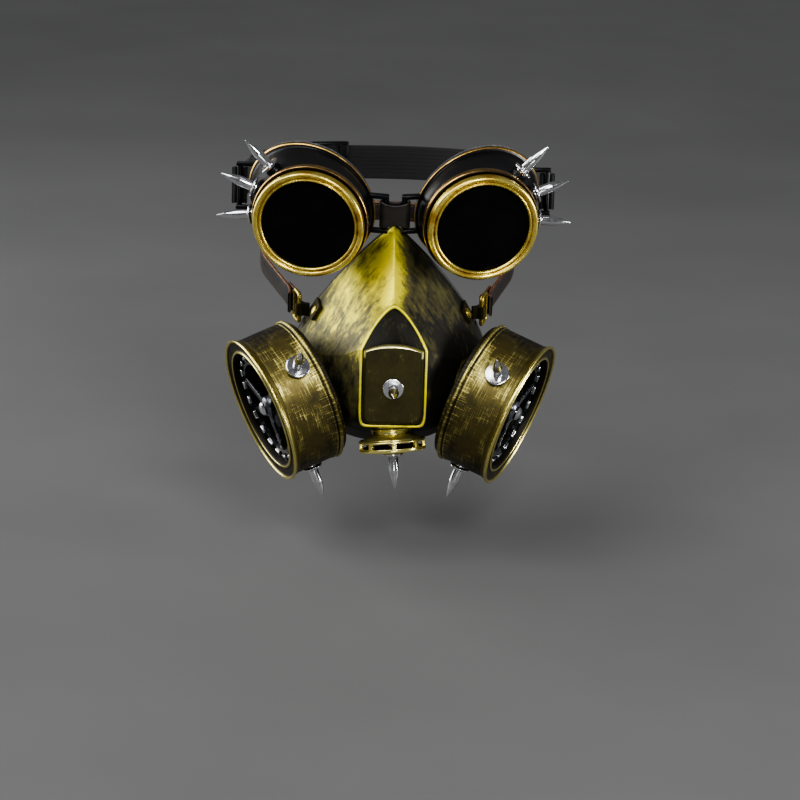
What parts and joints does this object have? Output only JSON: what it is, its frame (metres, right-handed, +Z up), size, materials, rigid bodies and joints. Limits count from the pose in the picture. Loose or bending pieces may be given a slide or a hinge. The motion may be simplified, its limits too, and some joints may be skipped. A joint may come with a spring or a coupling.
{
  "type": "half-face respirator mask with spiked goggles",
  "caption": "Costume half-face respirator with side canisters, an exhaust valve and head strap, worn with spiked round goggles.",
  "frame": {"origin": "in the middle of the face opening, level with the spike on the snout", "axes": "+X to the wearer's left, +Y to the back of the wearer's head, +Z up"},
  "size_m": [0.1912, 0.2531, 0.1952],
  "materials": {
    "aged_brass": "brushed antique brass with dark patina in the recesses and bright rubbed edges",
    "dark_brass": "dark olive patinated brass, satin",
    "bright_brass": "rubbed bright brass with brown patina",
    "bronze": "dark bronze paint rubbed to copper at the edges",
    "chrome": "polished chrome plate",
    "black_plastic": "semi-gloss black, moulded, rubbed to copper on its rear edge",
    "black_rubber": "soft matt black rubber",
    "black_foam": "fabric-covered black foam",
    "dark_lens": "very dark tinted lens, polished",
    "black_leather": "smooth black leather with copper-dyed edges",
    "black_webbing": "ribbed black elastic webbing"
  },
  "bodies": {
    "mask": {"face_shell": "aged_brass", "face_cushion": "black_rubber", "snout_plate": "dark_brass", "snout_spike": "chrome", "snout_spike_screw": "chrome", "exhaust_seat": "bright_brass", "left_port_sleeve": "dark_brass", "right_port_sleeve": "dark_brass", "left_strap_tab": "dark_brass", "right_strap_tab": "dark_brass", "strap_tab_rivets": "bright_brass", "mask_strap": "black_leather"},
    "left_canister": {"left_drum": "aged_brass", "left_bezel": "aged_brass", "left_grille": "chrome", "left_fan_axle": "chrome", "left_filter_pad": "black_foam", "left_drum_spikes": "chrome", "left_drum_spike_screws": "chrome"},
    "right_canister": {"right_drum": "aged_brass", "right_bezel": "aged_brass", "right_grille": "chrome", "right_fan_axle": "chrome", "right_filter_pad": "black_foam", "right_drum_spikes": "chrome", "right_drum_spike_screws": "chrome"},
    "left_fan": {"left_fan": "dark_brass"},
    "right_fan": {"right_fan": "dark_brass"},
    "exhaust_flap": {"exhaust_flap": "black_rubber"},
    "exhaust_cage": {"exhaust_cage": "bright_brass", "exhaust_spike": "chrome", "exhaust_spike_screw": "chrome"},
    "left_strap_ring": {"left_strap_ring": "bright_brass"},
    "right_strap_ring": {"right_strap_ring": "bright_brass"},
    "mask_strap_slider": {"mask_strap_slider": "chrome"},
    "goggles": {"left_eyecup": "black_plastic", "left_eye_cushion": "black_foam", "left_clamp_ring": "bronze", "left_lens": "dark_lens", "left_goggle_spikes": "chrome", "left_goggle_spike_screws": "chrome", "right_eyecup": "black_plastic", "right_eye_cushion": "black_foam", "right_clamp_ring": "bronze", "right_lens": "dark_lens", "right_goggle_spikes": "chrome", "right_goggle_spike_screws": "chrome", "nose_bridge": "black_leather", "goggle_strap": "black_webbing"},
    "left_lens_ring": {"left_lens_ring": "bright_brass"},
    "right_lens_ring": {"right_lens_ring": "bright_brass"},
    "goggle_strap_slider": {"goggle_strap_slider": "black_plastic"}
  },
  "joints": [
    {"name": "left_canister_bayonet", "type": "hinge", "parent": "mask", "child": "left_canister", "pos_m": [0.0441, -0.0382, -0.0122], "axis": [-0.8767, 0.3542, 0.3256], "range_deg": [0, 45]},
    {"name": "right_canister_bayonet", "type": "hinge", "parent": "mask", "child": "right_canister", "pos_m": [-0.0441, -0.0382, -0.0122], "axis": [-0.8767, -0.3542, -0.3256], "range_deg": [0, 45]},
    {"name": "left_fan_spin", "type": "hinge", "parent": "left_canister", "child": "left_fan", "pos_m": [0.0441, -0.0382, -0.0122], "axis": [0.8767, -0.3542, -0.3256], "continuous": true},
    {"name": "right_fan_spin", "type": "hinge", "parent": "right_canister", "child": "right_fan", "pos_m": [-0.0441, -0.0382, -0.0122], "axis": [-0.8767, -0.3542, -0.3256], "continuous": true},
    {"name": "exhaust_flap_lift", "type": "slide", "parent": "mask", "child": "exhaust_flap", "axis": [0.0872, -0.2071, -0.9744], "range_m": [0, 0.001], "stiffness_N_per_m": 50},
    {"name": "exhaust_cage_twist", "type": "hinge", "parent": "mask", "child": "exhaust_cage", "pos_m": [0, -0.0592, -0.0252], "axis": [0.0872, -0.2071, -0.9744], "range_deg": [0, 45]},
    {"name": "left_ring_swing", "type": "hinge", "parent": "mask", "child": "left_strap_ring", "pos_m": [0.05, -0.00642, 0.02448], "axis": [0, -0.1564, 0.9877], "range_deg": [-5, 5]},
    {"name": "right_ring_swing", "type": "hinge", "parent": "mask", "child": "right_strap_ring", "pos_m": [-0.05, -0.00642, 0.02448], "axis": [0, -0.1564, 0.9877], "range_deg": [-5, 5]},
    {"name": "mask_slider_slide", "type": "hinge", "parent": "mask", "child": "mask_strap_slider", "pos_m": [0, 0.07111, 0.03676], "axis": [0, -0.1564, 0.9877], "range_deg": [-15, 15]},
    {"name": "goggles_lift", "type": "hinge", "parent": "mask", "child": "goggles", "pos_m": [0, 0.15, 0.085], "axis": [-1, 0, 0], "range_deg": [0, 35]},
    {"name": "left_lens_ring_turn", "type": "hinge", "parent": "goggles", "child": "left_lens_ring", "pos_m": [0.0409, -0.0176, 0.0876], "axis": [0.1736, -0.9633, -0.2048], "continuous": true},
    {"name": "right_lens_ring_turn", "type": "hinge", "parent": "goggles", "child": "right_lens_ring", "pos_m": [-0.0409, -0.0176, 0.0876], "axis": [-0.1736, -0.9633, -0.2048], "continuous": true},
    {"name": "goggle_slider_slide", "type": "hinge", "parent": "goggles", "child": "goggle_strap_slider", "pos_m": [0, 0.07459, 0.08355], "axis": [0, 0.1045, 0.9945], "range_deg": [-15, 15]}
  ]
}
